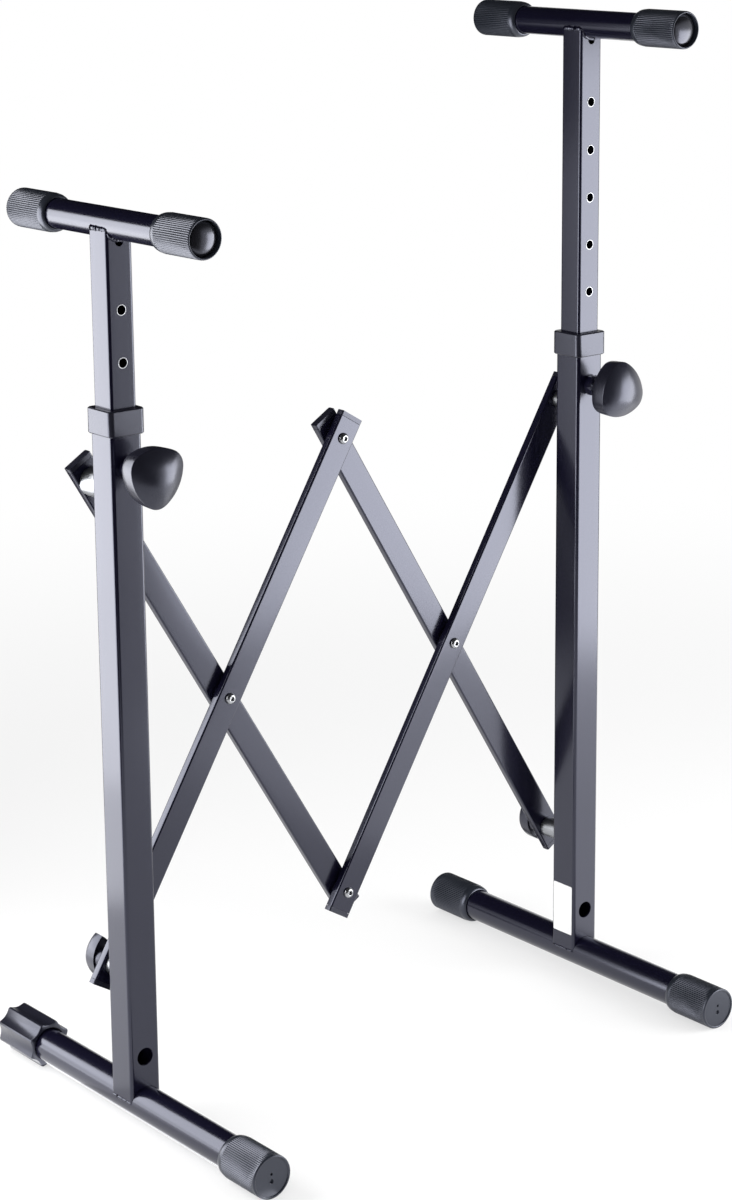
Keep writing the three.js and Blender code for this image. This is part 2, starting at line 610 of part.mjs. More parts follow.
// A link stands on its lower pivot at local z = 0 and reaches its upper pivot at z = LINK_LENGTH.
function buildLink(name, plane, holeDiameters) {
  const group = new THREE.Group();
  const overhang = LINK_OVERHANG - LINK_PLUG_FLANGE - CLEARANCE;
  const section = [LINK_WIDTH, LINK_THICKNESS, LINK_CORNER];
  const ends = [-overhang, LINK_LENGTH + overhang];
  const tube = bar(roundedSquare(...section), ...ends, LINK_CORNER_SEGMENTS);
  const holes = holeDiameters.map((diameter, i) =>
    rod(diameter / 2 + CLEARANCE, -LINK_THICKNESS, LINK_THICKNESS).translate(0, 0, (i * LINK_LENGTH) / 2));
  const hollow = boreOf(...section, LINK_WALL, ...ends);
  place(group, name, cut(tube, hollow, ...holes), coatedSteel, 0, plane.middle);
  const end = overhang + CLEARANCE;
  place(group, `${name}_upper_plug`, linkPlug(), plastic, 0, plane.middle, LINK_LENGTH + end);
  place(group, `${name}_lower_plug`, linkPlug().rotateY(Math.PI), plastic, 0, plane.middle, -end);
  return group;
}

// End plug: a flange the size of the link and a tongue inside it.
function linkPlug() {
  const [width, depth] = [LINK_WIDTH, LINK_THICKNESS].map((size) => size - 2 * LINK_WALL - 2 * CLEARANCE);
  const section = roundedSquare(LINK_WIDTH, LINK_THICKNESS, LINK_CORNER);
  const flange = bar(section, 0, LINK_PLUG_FLANGE, LINK_CORNER_SEGMENTS);
  return join(flange, bar(roundedSquare(width, depth, LINK_PLUG_CORNER), -LINK_PLUG_TONGUE, 1, 1));
}

// The slide bolt, its spacer and its clamp knob turn about the lower pivot of their link.
function addSlide(link, side, plane, turn) {
  place(link, `${side}_slide_bolt`, slideBolt(plane), zinc);
  place(link, `${side}_slide_spacer`, spacer(SLIDE_SPACER_DIAMETER, plane), spacerSteel);
  place(link, `${side}_clamp_knob`, clampKnob().rotateY(-turn), plastic, 0, plane.back + CLEARANCE);
}

function addPivot(link, name, height) {
  place(link, `${name}_pivot_screw`, pivotScrew(), zinc, 0, 0, height);
  place(link, `${name}_pivot_washer`, pivotWasher(), plastic, 0, 0, height);
}

// Links a and c slope down to the right in the rear plane; b and d slope up to the right in front.
function buildScissor() {
  const group = new THREE.Group();
  const lean = Math.PI / 2 - restAngle;
  const [bolt, screw] = [STAND_BOLT_DIAMETER, PIVOT_SCREW_DIAMETER];
  const a = buildLink('link_a', rearPlane, [screw, screw, bolt]);
  const b = buildLink('link_b', frontPlane, [bolt, screw, screw]);
  const c = buildLink('link_c', rearPlane, [bolt, screw, screw]);
  const d = buildLink('link_d', frontPlane, [screw, screw, bolt]);
  a.position.x = 0;
  b.position.x = -STAND_SPACING / 2;
  c.position.x = STAND_SPACING / 2;
  d.position.x = 0;
  for (const [link, turn] of [[a, -lean], [b, lean], [c, -lean], [d, lean]]) {
    link.position.z = lowerPivotHeight;
    link.rotation.y = turn;
    group.add(link);
  }
  addSlide(b, 'left', frontPlane, LEFT_CLAMP_TURN + lean);
  addSlide(c, 'right', rearPlane, RIGHT_CLAMP_TURN - lean);
  addPivot(b, 'left_centre', LINK_LENGTH / 2);
  addPivot(b, 'top', LINK_LENGTH);
  addPivot(d, 'right_centre', LINK_LENGTH / 2);
  addPivot(d, 'bottom', 0);
  return group;
}

function buildKeyboardStand() {
  const left = buildStand('left', {
    x: -STAND_SPACING / 2,
    hole: LEFT_HOLE,
    knobTurn: LEFT_KNOB_TURN,
    upperPlane: rearPlane,
    spacerDiameter: LEFT_UPPER_SPACER_DIAMETER,
  });
  const right = buildStand('right', {
    x: STAND_SPACING / 2,
    hole: RIGHT_HOLE,
    knobTurn: RIGHT_KNOB_TURN,
    upperPlane: frontPlane,
    spacerDiameter: RIGHT_UPPER_SPACER_DIAMETER,
  });
  const starMouth = FOOT_LENGTH / 2 - STAR_INSET - STAR_LENGTH;
  place(left, 'left_levelling_cap', levellingCap(), plastic, 0, starMouth, footAxisHeight);
  place(right, 'right_rear_foot_cap', footCap(), rubber, 0, FOOT_LENGTH / 2 - CAP_LENGTH, footAxisHeight);
  const stand = new THREE.Group();
  stand.add(left, right, buildScissor());
  return stand;
}

export default buildKeyboardStand();
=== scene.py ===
# %% [markdown]
# # A folding keyboard stand
# Two T-shaped stands of square black tube, joined by a double scissor of four flat links. Every length
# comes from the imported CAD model, so this lesson only dresses it: it turns the rubber, screws and knobs
# in finer detail than the solids have, and it gives each surface the finish of the real one.

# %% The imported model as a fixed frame
import json
import math

import bmesh
import bpy
from mathutils import Matrix, Vector, noise

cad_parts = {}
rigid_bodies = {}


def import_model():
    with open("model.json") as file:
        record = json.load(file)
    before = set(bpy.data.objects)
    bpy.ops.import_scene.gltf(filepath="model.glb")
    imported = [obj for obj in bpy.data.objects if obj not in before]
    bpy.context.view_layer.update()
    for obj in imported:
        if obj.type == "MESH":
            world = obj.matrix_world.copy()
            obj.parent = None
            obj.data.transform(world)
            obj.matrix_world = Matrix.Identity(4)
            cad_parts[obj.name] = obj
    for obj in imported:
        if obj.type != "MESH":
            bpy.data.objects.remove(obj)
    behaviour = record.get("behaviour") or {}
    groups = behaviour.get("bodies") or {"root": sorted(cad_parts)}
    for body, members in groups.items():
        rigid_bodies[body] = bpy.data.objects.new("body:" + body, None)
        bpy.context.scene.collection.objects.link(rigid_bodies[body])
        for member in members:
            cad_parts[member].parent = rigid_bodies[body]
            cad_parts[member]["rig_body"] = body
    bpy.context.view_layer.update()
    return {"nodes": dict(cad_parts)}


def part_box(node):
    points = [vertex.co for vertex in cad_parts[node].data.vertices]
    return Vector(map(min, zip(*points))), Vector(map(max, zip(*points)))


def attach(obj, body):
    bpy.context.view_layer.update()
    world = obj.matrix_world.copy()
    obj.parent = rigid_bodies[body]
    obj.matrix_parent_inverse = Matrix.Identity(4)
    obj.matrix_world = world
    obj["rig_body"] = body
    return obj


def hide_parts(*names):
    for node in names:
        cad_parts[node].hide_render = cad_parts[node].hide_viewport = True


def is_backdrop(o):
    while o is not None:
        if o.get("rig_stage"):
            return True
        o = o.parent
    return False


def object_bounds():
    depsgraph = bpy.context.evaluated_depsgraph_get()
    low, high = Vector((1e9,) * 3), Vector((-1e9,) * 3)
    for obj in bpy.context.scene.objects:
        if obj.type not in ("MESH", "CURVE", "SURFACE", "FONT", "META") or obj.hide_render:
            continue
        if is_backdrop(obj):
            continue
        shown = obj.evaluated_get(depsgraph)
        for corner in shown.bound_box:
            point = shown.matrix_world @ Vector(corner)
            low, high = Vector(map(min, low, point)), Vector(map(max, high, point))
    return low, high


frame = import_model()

nodes = frame["nodes"]

# %% [markdown]
# ## The camera
# The stand is seen from its front left, a little above the top bars, through a long lens that keeps the
# uprights nearly parallel. The camera could be aimed with a constraint, but its three axes are written
# out here, because the picture also leans by a degree and only axes say that plainly.

# %% Camera
YAW, PITCH, ROLL = math.radians(37.822), math.radians(13.565), math.radians(-0.847)
PLACE = Vector((-1.49733, -1.84000, 1.07996))
SENSOR, FOCAL_LENGTH, SHIFT = 36, 83.806, (0.0542, -0.0848)
forward = Vector((math.sin(YAW) * math.cos(PITCH), math.cos(YAW) * math.cos(PITCH), -math.sin(PITCH)))
level = Vector((math.cos(YAW), -math.sin(YAW), 0))
upward = level.cross(forward)
right = math.cos(ROLL) * level + math.sin(ROLL) * upward
top = math.cos(ROLL) * upward - math.sin(ROLL) * level

lens = bpy.data.cameras.new("camera")
lens.sensor_width, lens.lens = SENSOR, FOCAL_LENGTH
lens.shift_x, lens.shift_y = SHIFT
camera = bpy.data.objects.new("camera", lens)
bpy.context.scene.collection.objects.link(camera)
camera.matrix_world = Matrix((
    (right.x, top.x, -forward.x, PLACE.x),
    (right.y, top.y, -forward.y, PLACE.y),
    (right.z, top.z, -forward.z, PLACE.z),
    (0, 0, 0, 1),
))
bpy.context.scene.camera = camera
bpy.context.scene.view_settings.view_transform = "Standard"
print("camera at", tuple(camera.location))

# %% [markdown]
# ## Two small tools for the finishes
# A finish is a tree of shader nodes. Written node by node it is long and hard to read, so a Wire stands
# for a value that leaves a node, and sums and products of wires add the Math nodes. A Finish makes the
# material, adds any other node, and plugs wires into the shader.

# %% Wires and finishes
class Wire:
    """A number, colour or vector on its way from one node to another."""

    def __init__(self, finish, socket):
        self.finish, self.socket = finish, socket

    def _math(self, operation, first, second):
        return self.finish.node("ShaderNodeMath", {"operation": operation}, {0: first, 1: second})

    def __add__(self, other):
        return self._math("ADD", self, other)

    def __sub__(self, other):
        return self._math("SUBTRACT", self, other)

    def __rsub__(self, other):
        return self._math("SUBTRACT", other, self)

    def __mul__(self, other):
        return self._math("MULTIPLY", self, other)

    __radd__, __rmul__ = __add__, __mul__


class Finish:
    """A material with one Principled shader; constants go straight onto the shader's sockets."""

    def __init__(self, name, **constants):
        self.material = bpy.data.materials.new(name)
        self.material.use_nodes = True
        self.tree = self.material.node_tree
        self.shader = self.tree.nodes["Principled BSDF"]
        for socket, value in constants.items():
            self.shader.inputs[socket.replace("_", " ")].default_value = value

    def node(self, kind, settings=None, inputs=None, output=0):
        made = self.tree.nodes.new(kind)
        for key, value in (settings or {}).items():
            if key == "stops":
                for stop, (position, colour) in zip(made.color_ramp.elements, value):
                    stop.position, stop.color = position, (*colour, 1)
            else:
                setattr(made, key, value)
        for key, value in (inputs or {}).items():
            self.plug(made.inputs[key], value)
        return Wire(self, made.outputs[output])

    def plug(self, socket, value):
        if isinstance(value, Wire):
            self.tree.links.new(value.socket, socket)
        else:
            socket.default_value = value

    def place(self):
        """Metres in the frame, which stay with the piece when it moves."""
        return self.node("ShaderNodeTexCoord", output="Object")

    def cloud(self, scale, detail=2.0, stretch=None):
        """Soft noise from 0 to 1 with grains about 1 / scale metres across."""
        where = self.place()
        if stretch:
            where = self.node("ShaderNodeVectorMath", {"operation": "MULTIPLY"}, {0: where, 1: stretch})
        return self.node("ShaderNodeTexNoise", inputs={"Vector": where, "Scale": scale, "Detail": detail})

    def blend(self, amount, first, second):
        """The first colour where amount is 0, the second where it is 1."""
        return self.node("ShaderNodeMix", {"data_type": "RGBA"},
                         {"Factor": amount, 6: (*first, 1), 7: (*second, 1)}, output=2)

    def relief(self, height, depth, strength=1.0):
        """Bump of the given depth in metres."""
        return self.node("ShaderNodeBump", inputs={"Height": height, "Distance": depth, "Strength": strength})

    def wear(self, **links):
        for socket, value in links.items():
            self.plug(self.shader.inputs[socket.replace("_", " ")], value)
        return self.material


# %% [markdown]
# ## Black coated steel
# The tubes are powder coated: black with a blue cast, a satin gloss, and a skin that is faintly uneven
# like the peel of an orange. Handling leaves patches that shine a little less. The cast could sit in the
# base colour alone, but so dark a coat shows it mostly in what it mirrors, so the specular tint has it too.

# %% Coated steel
COLD_TINT = (0.79, 0.82, 1.0, 1.0)


def coated_steel():
    skin = Finish("coated_steel", IOR=1.5, Specular_IOR_Level=0.78, Specular_Tint=COLD_TINT)
    patches = skin.cloud(9)
    grain = skin.cloud(1100, detail=1)
    tone = skin.blend(patches, (0.0030, 0.0026, 0.0090), (0.0050, 0.0046, 0.0130))
    gloss = 0.15 + patches * 0.04 + grain * 0.03
    return skin.wear(Base_Color=tone, Roughness=gloss, Normal=skin.relief(grain, 0.00003, 0.15))


# %% [markdown]
# ## Rubber, plastic and bare metal
# Rubber is dull and picks up dust; moulded plastic has an even fine grain; the plugs in the bar ends are
# glossy. Bare parts are of two kinds: turned spacers with the fine rings of the lathe, and zinc plated
# screws with a cloudy shine. Each is the same short recipe with other numbers, so each is a few lines.

# %% Rubber and plastics
def rubber():
    skin = Finish("rubber", IOR=1.5, Specular_IOR_Level=0.8, Specular_Tint=COLD_TINT)
    dust = skin.cloud(55, detail=4)
    grain = skin.cloud(2200, detail=2)
    tone = skin.blend(dust, (0.009, 0.011, 0.016), (0.016, 0.019, 0.026))
    return skin.wear(Base_Color=tone, Roughness=0.28 + dust * 0.09, Normal=skin.relief(grain, 0.00002, 0.2))


def moulded_plastic(name, dark, light, roughness, grain_depth):
    skin = Finish(name, IOR=1.49, Specular_IOR_Level=0.8, Specular_Tint=COLD_TINT)
    flow = skin.cloud(40, detail=3)
    grain = skin.cloud(1800, detail=1)
    return skin.wear(
        Base_Color=skin.blend(flow, dark, light),
        Roughness=roughness + flow * 0.08 + grain * 0.05,
        Normal=skin.relief(grain, grain_depth, 0.5),
    )


# %% Metals
def turned_steel():
    skin = Finish("spacer_steel", IOR=2.5)
    rings = skin.cloud(260, detail=2, stretch=(0.05, 6.0, 0.05))
    tone = skin.blend(rings, (0.26, 0.27, 0.29), (0.38, 0.39, 0.41))
    return skin.wear(Base_Color=tone, Metallic=0.96 + rings * 0.04, Roughness=0.26 + rings * 0.16,
                     Normal=skin.relief(rings, 0.00003, 0.4))


def zinc_plate():
    skin = Finish("zinc", IOR=2.5)
    cloudy = skin.cloud(420, detail=3)
    tone = skin.blend(cloudy, (0.34, 0.35, 0.37), (0.52, 0.53, 0.55))
    return skin.wear(Base_Color=tone, Metallic=0.97 + cloudy * 0.03, Roughness=0.18 + cloudy * 0.2,
                     Normal=skin.relief(cloudy, 0.00002, 0.3))


def label_paper():
    skin = Finish("label_paper", IOR=1.45, Specular_IOR_Level=0.4)
    fibre = skin.cloud(900, detail=3)
    tone = skin.blend(fibre, (0.70, 0.70, 0.71), (0.82, 0.82, 0.82))
    return skin.wear(Base_Color=tone, Roughness=0.5 + fibre * 0.15, Normal=skin.relief(fibre, 0.00002, 0.3))


FINISHES = {
    "coated_steel": coated_steel(),
    "rubber": rubber(),
    "plastic": moulded_plastic("plastic", (0.006, 0.006, 0.011), (0.010, 0.010, 0.017), 0.22, 0.00002),
    "gloss_plastic": moulded_plastic("gloss_plastic", (0.006, 0.006, 0.008), (0.010, 0.010, 0.012),
                                     0.16, 0.00001),
    "spacer_steel": turned_steel(),
    "zinc": zinc_plate(),
    "label_paper": label_paper(),
}
print("finishes:", sorted(FINISHES))

# %% [markdown]
# ## The solids that stay
# Tubes, links, collars, spacers and washers already have the right shape, so they keep their meshes and
# get modifiers: Weld joins the corners that the file format splits, Bevel breaks the sharp edges of the
# small moulded pieces, and Weighted Normal keeps wide flats flat while their round corners shade round.

# %% Dress the kept solids
KEPT = {
    "coated_steel": ["foot_tube", "column", "mast", "top_bar"],
    "plastic": ["collar", "mast_glide"],
    "spacer_steel": ["upper_spacer", "slide_spacer"],
}
SMOOTH_BELOW = math.radians(40)
SOFT_EDGE = 0.0004  # metres, on the small moulded pieces
WELD_REACH = 1e-6


def dress(node, finish, bevel=0.0):
    solid = nodes[node]
    solid.data.materials.clear()
    solid.data.materials.append(FINISHES[finish])
    for face in solid.data.polygons:
        face.use_smooth = True
    weld = solid.modifiers.new("weld", "WELD")
    weld.merge_threshold = WELD_REACH
    if bevel:
        soft = solid.modifiers.new("soft_edges", "BEVEL")
        soft.width, soft.segments = bevel, 2
        soft.limit_method, soft.angle_limit = "ANGLE", SMOOTH_BELOW
    split = solid.modifiers.new("sharp_edges", "EDGE_SPLIT")
    split.split_angle = SMOOTH_BELOW
    flat = solid.modifiers.new("flat_flats", "WEIGHTED_NORMAL")
    flat.weight = 100


for finish, names in KEPT.items():
    for name in names:
        for side in ("left", "right"):
            dress(f"{side}_{name}", finish, SOFT_EDGE if finish == "plastic" else 0.0)
for link in "abcd":
    dress(f"link_{link}", "coated_steel")
    for end in ("upper", "lower"):
        dress(f"link_{link}_{end}_plug", "plastic", SOFT_EDGE)
for pivot in ("left_centre", "top", "right_centre", "bottom"):
    dress(f"{pivot}_pivot_washer", "plastic")
print("dressed", sum(1 for solid in nodes.values() if solid.modifiers), "solids")

# %% [markdown]
# ## Turning pieces on a lathe of our own
# Caps, sleeves, plugs, screws and knobs are all round about Y. Blender has a Screw modifier for that, but
# flutes, lobes and hexagons need a radius that changes with the angle. So one function lays rings of
# points along Y, asks an outline for each radius, and skins the rings with quads.

# %% Rings to a mesh
MM = 0.001


def turn_piece(name, rings, steps, outline=lambda angle, ring: ring[0], sharp=40, reshape=None):
    """Mesh from rings of (radius, y, ...) in millimetres.

    An outline may change a radius by the angle from +Z.
    """
    shell = bmesh.new()
    rows = []
    for ring in rings:
        if ring[0] == 0:
            rows.append([shell.verts.new((0, ring[1] * MM, 0))])
            continue
        row = []
        for step in range(steps):
            angle = 2 * math.pi * step / steps
            radius = outline(angle, ring) * MM
            row.append(shell.verts.new((radius * math.sin(angle), ring[1] * MM, radius * math.cos(angle))))
        rows.append(row)
    for low, high in zip(rows, rows[1:]):
        for step in range(steps):
            after = (step + 1) % steps
            corners = [low[step % len(low)], low[after % len(low)],
                       high[after % len(high)], high[step % len(high)]]
            shell.faces.new(list(dict.fromkeys(corners)))
    if reshape:
        for corner in shell.verts:
            corner.co = reshape(corner.co)
    bmesh.ops.recalc_face_normals(shell, faces=shell.faces)
    return mesh_of(name, shell, sharp)


def mesh_of(name, shell, sharp=40):
    mesh = bpy.data.meshes.new(name)
    shell.to_mesh(mesh)
    shell.free()
    for face in mesh.polygons:
        face.use_smooth = True
    mesh.set_sharp_from_angle(angle=math.radians(sharp))
    return mesh


def fit(name, mesh, finish, node, place, facing=1, stands_for=True):
    """Sets a piece on the body of its CAD node; facing -1 turns it round to the front of the stand."""
    if not mesh.materials:
        mesh.materials.append(FINISHES[finish])
    piece = bpy.data.objects.new(name, mesh)
    bpy.context.scene.collection.objects.link(piece)
    piece.location = place
    piece.rotation_euler.z = 0 if facing > 0 else math.pi
    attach(piece, nodes[node]["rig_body"])
    if stands_for:
        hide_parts(node)
    return piece


def turned(mesh, degrees):
    """A copy of a mesh turned about its own Y axis, with the turn in its points."""
    copy = mesh.copy()
    copy.transform(Matrix.Rotation(math.radians(degrees), 4, "Y"))
    return copy


def middle(node):
    low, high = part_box(node)
    return (low + high) / 2


def inner_end(node, facing):
    """The middle of a solid in X and Z, and its end nearer the column in Y."""
    low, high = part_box(node)
    seat = (low + high) / 2
    seat.y = low.y if facing > 0 else high.y
    return seat


# %% [markdown]
# ## Fluted sleeves and foot caps
# The rubber has fine straight flutes, about 1.8 mm apart, between a smooth rounded shoulder and a smooth
# rim. A bump map would leave the outline of the sleeve smooth, so the flutes are cut into the mesh: each
# ring carries its flute depth, and the outline dips by that depth once per flute.

# %% Flutes
FLUTE_DEPTH = 0.8
SLEEVE_FLUTES, CAP_FLUTES = 56, 66
STEPS_PER_FLUTE = 6
SHOULDER, SHOULDER_END, FLUTES_START = 6, 6.8, 7.6  # along the piece
CHAMFER = 0.3


def fluted(count):
    """Broad ribs with narrow grooves between them."""
    def outline(angle, ring):
        dip = ring[2] if len(ring) > 2 else 0
        return ring[0] - dip * (0.5 + 0.5 * math.cos(count * angle)) ** 2
    return outline


def rounded_shoulder(radius, drop, length, steps=5):
    """Quarter ellipse from the mouth of a sleeve up to its full radius."""
    turns = [step * math.pi / 2 / steps for step in range(steps + 1)]
    return [(radius - drop * (1 - math.sin(turn)), length * (1 - math.cos(turn))) for turn in turns]


# %% Sleeves on the bars
SLEEVE_RADIUS, SLEEVE_BORE, SLEEVE_LENGTH = 16.42, 12.75, 54
SLEEVE_SHOULDER_DROP = 2.9
MOUTH_RADIUS, MOUTH_DEPTH = 14.6, 6.8
sleeve = turn_piece("fluted_sleeve", [
    (SLEEVE_BORE, 6),
    (SLEEVE_BORE, CHAMFER),
    (SLEEVE_BORE + CHAMFER, 0),
    *rounded_shoulder(SLEEVE_RADIUS - CHAMFER, SLEEVE_SHOULDER_DROP, SHOULDER),
    (SLEEVE_RADIUS - CHAMFER, SHOULDER_END),
    (SLEEVE_RADIUS, FLUTES_START, FLUTE_DEPTH),
    (SLEEVE_RADIUS, SLEEVE_LENGTH - 3.0, FLUTE_DEPTH),
    (SLEEVE_RADIUS - 0.1, SLEEVE_LENGTH - 1.4, FLUTE_DEPTH * 0.6),
    (SLEEVE_RADIUS - 0.5, SLEEVE_LENGTH - 0.4, FLUTE_DEPTH * 0.3),
    (SLEEVE_RADIUS - 1.0, SLEEVE_LENGTH),
    (SLEEVE_RADIUS - 1.5, SLEEVE_LENGTH),
    (MOUTH_RADIUS, SLEEVE_LENGTH - 0.5),
    (MOUTH_RADIUS, SLEEVE_LENGTH - MOUTH_DEPTH),
    (SLEEVE_BORE, SLEEVE_LENGTH - MOUTH_DEPTH),
    (SLEEVE_BORE, SLEEVE_LENGTH - 12),
], SLEEVE_FLUTES * STEPS_PER_FLUTE, fluted(SLEEVE_FLUTES), sharp=60)

BAR_RADIUS, PLUG_RADIUS = 12.5, 14.3
PLUG_STEM, PLUG_STEM_LENGTH = 10.7, 12
PLUG_BACK, PLUG_FRONT, PLUG_DOME = 0.4, 1.0, 5.4
plug = turn_piece("domed_plug", [
    (PLUG_STEM, -PLUG_STEM_LENGTH),
    (PLUG_STEM, PLUG_BACK),
    (PLUG_RADIUS, PLUG_BACK),
    (PLUG_RADIUS, PLUG_FRONT),
    *[(PLUG_RADIUS * math.cos(turn), PLUG_FRONT + PLUG_DOME * math.sin(turn)) for turn in
      [math.radians(6 * step) for step in range(1, 15)]],
    (0, PLUG_FRONT + PLUG_DOME),
], 64)

for side in ("left", "right"):
    for end, facing in (("front", -1), ("rear", 1)):
        node = f"{side}_{end}_sleeve"
        seat = inner_end(node, facing)
        fit(f"{side}_{end}_fluted_sleeve", sleeve, "rubber", node, seat, facing)
        node = f"{side}_{end}_bar_plug"
        low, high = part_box(node)
        seat.y = low.y + PLUG_STEM_LENGTH * MM if facing > 0 else high.y - PLUG_STEM_LENGTH * MM
        fit(f"{side}_{end}_domed_plug", plug, "gloss_plastic", node, seat, facing)
print("sleeve faces:", len(sleeve.polygons), "plug faces:", len(plug.polygons))

# %% Caps on the feet
CAP_RADIUS, CAP_BORE, CAP_LENGTH = 18.91, 15.25, 52
DIMPLES = ((0.0, 2.6, 1.2), (0.0, -3.6, 2.0))
DIMPLE_DEPTH, DIMPLE_SLOPE = 1.8, 2.5
CAP_SHOULDER_DROP, CAP_RECESS, CAP_FACE_BAND = 3.0, 0.9, 1.2


def dimpled(corner):
    """Presses a small and a larger round dimple into the closed end."""
    if corner.y < (CAP_LENGTH - CAP_FACE_BAND) * MM:
        return corner
    for x, z, radius in DIMPLES:
        off = math.hypot(corner.x - x * MM, corner.z - z * MM) / (radius * MM)
        if off < 1:
            corner.y -= DIMPLE_DEPTH * MM * min(1, DIMPLE_SLOPE * (1 - off))
    return corner


cap = turn_piece("fluted_foot_cap", [
    (CAP_BORE, 8),
    (CAP_BORE, CHAMFER),
    (CAP_BORE + CHAMFER, 0),
    *rounded_shoulder(CAP_RADIUS - CHAMFER, CAP_SHOULDER_DROP, SHOULDER),
    (CAP_RADIUS - CHAMFER, SHOULDER_END),
    (CAP_RADIUS, FLUTES_START, FLUTE_DEPTH),
    (CAP_RADIUS, CAP_LENGTH - 9, FLUTE_DEPTH),
    (CAP_RADIUS, CAP_LENGTH - 2.6, FLUTE_DEPTH * 0.4),
    (CAP_RADIUS, CAP_LENGTH - 1.9),
    (CAP_RADIUS, CAP_LENGTH - 1.1),
    (CAP_RADIUS - 0.3, CAP_LENGTH - 0.35),
    (CAP_RADIUS - 0.9, CAP_LENGTH),
    (CAP_RADIUS - 1.8, CAP_LENGTH),
    (CAP_RADIUS - 2.2, CAP_LENGTH - 0.4),
    (CAP_RADIUS - 2.4, CAP_LENGTH - CAP_RECESS),
    (9, CAP_LENGTH - CAP_RECESS),
    *[(6.4 - 0.4 * step, CAP_LENGTH - CAP_RECESS) for step in range(16)],
    (0, CAP_LENGTH - CAP_RECESS),
], CAP_FLUTES * STEPS_PER_FLUTE, fluted(CAP_FLUTES), sharp=60, reshape=dimpled)

for node, facing in (("left_front_foot_cap", -1), ("right_front_foot_cap", -1), ("right_rear_foot_cap", 1)):
    fit(node.replace("foot_cap", "fluted_foot_cap"), cap, "rubber", node, inner_end(node, facing), facing)
print("foot cap faces:", len(cap.polygons))

# %% [markdown]
# ## The height knobs
# Each knob is a triangular grip with bowed sides and round corners: a wide matt band that swells towards
# the front, a crisp crease, and a gently domed face. The outline could be a circle with three waves, but
# waves make the sides hollow. It is six arcs instead: each side turns about a point beyond the axis, and
# each corner arc runs on from it, so the distance from the axis is one of two square roots.

# %% Bowed triangle
KNOB_REACH, KNOB_WAIST, KNOB_BOW = 27.2, 23.4, 16.0
THIRD = 2 * math.pi / 3
rise = KNOB_WAIST + KNOB_BOW - KNOB_REACH
KNOB_CORNER = (KNOB_BOW ** 2 - rise ** 2) / (2 * rise - KNOB_BOW)
share = (KNOB_REACH - KNOB_CORNER) / (rise + KNOB_CORNER)
KNOB_CONTACT = math.atan2(share * KNOB_BOW * math.sin(THIRD / 2),
                          KNOB_CORNER + share * (KNOB_CORNER + KNOB_BOW / 2))


def on_arc(radius, offset, angle):
    """Distance from the axis to a circle whose centre lies offset away at angle 0."""
    return offset * math.cos(angle) + math.sqrt(radius ** 2 - (offset * math.sin(angle)) ** 2)


def bowed_triangle(angle):
    off = abs((angle + THIRD / 2) % THIRD - THIRD / 2)
    if off <= KNOB_CONTACT:
        return on_arc(KNOB_REACH - KNOB_CORNER, KNOB_CORNER, off)
    return on_arc(KNOB_WAIST + KNOB_BOW, -KNOB_BOW, THIRD / 2 - off)


print("knob corners: centre", round(KNOB_CORNER, 2), "mm out, contact at",
      round(math.degrees(KNOB_CONTACT), 1), "degrees")

# %% Height knobs
KNOB_HUB, KNOB_HUB_LENGTH, KNOB_BAND, KNOB_DOME = 9.0, 9.0, 16.0, 8.6
KNOB_BORE, KNOB_STEPS = 5.2, 144
KNOB_TURNS = {"left": 59, "right": 7}  # degrees from one corner straight up


def knob_outline(angle, ring):
    """The full triangle at the rim, a plain circle at the hub."""
    radius = ring[0]
    if radius <= KNOB_HUB:
        return radius
    return KNOB_HUB + (radius - KNOB_HUB) * (bowed_triangle(angle) - KNOB_HUB) / (KNOB_REACH - KNOB_HUB)


knob = turn_piece("height_knob", [
    (KNOB_BORE, 0),
    (KNOB_BORE, -KNOB_HUB_LENGTH),
    (KNOB_HUB - 1, -KNOB_HUB_LENGTH),
    (KNOB_HUB - 0.3, -KNOB_HUB_LENGTH + 0.4),
    (KNOB_HUB, -KNOB_HUB_LENGTH + 1.2),
    (KNOB_HUB, -0.6),
    (KNOB_HUB + 0.6, 0),
    (KNOB_REACH * 0.88, 0),
    (KNOB_REACH * 0.92, 0.35),
    (KNOB_REACH * 0.95, 1.3),
    (KNOB_REACH * 0.968, 3.0),
    (KNOB_REACH * 0.982, 7),
    (KNOB_REACH * 0.993, 12),
    (KNOB_REACH * 0.998, KNOB_BAND - 0.6),
    (KNOB_REACH * 0.998, KNOB_BAND - 0.2),
    (KNOB_REACH * 0.988, KNOB_BAND + 0.2),
    (KNOB_REACH * 0.975, KNOB_BAND + 0.42),
    *[(KNOB_REACH * share, KNOB_BAND + KNOB_DOME * (1 - share ** 2))
      for share in (0.96, 0.93, 0.9, 0.8, 0.7, 0.6, 0.5, 0.4, 0.3, 0.2, 0.1)],
    (0, KNOB_BAND + KNOB_DOME),
], KNOB_STEPS, knob_outline, sharp=50)

for side, turn in KNOB_TURNS.items():
    node = f"{side}_height_knob"
    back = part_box(node)[1].y
    seat = Vector((middle(f"{side}_column").x, back - KNOB_HUB_LENGTH * MM, middle(f"{side}_lock_screw").z))
    fit(f"{side}_bowed_knob", turned(knob, turn), "plastic", node, seat, -1)
print("knob faces:", len(knob.polygons))

# %% [markdown]
# ## Clamp knobs on the slide bolts
# The lower knobs are shaped like an eye: two arcs that meet in an upper and a lower tip, on a round hub,
# hollow towards the link. The outline is the distance from the axis to the nearer arc, which needs one
# square root and no drawing.

# %% Eye-shaped knobs
EYE_ARC, EYE_HALF, EYE_HUB, EYE_DEPTH = 25.0, 10.5, 9.0, 12.0
EYE_BORE, EYE_BORE_DEPTH = 4.2, 15
EYE_TURNS = {"left": 0, "right": 13}  # degrees from one tip straight up
EYE_OFFSET = EYE_ARC - EYE_HALF
EYE_TIP = math.sqrt(EYE_ARC ** 2 - EYE_OFFSET ** 2)


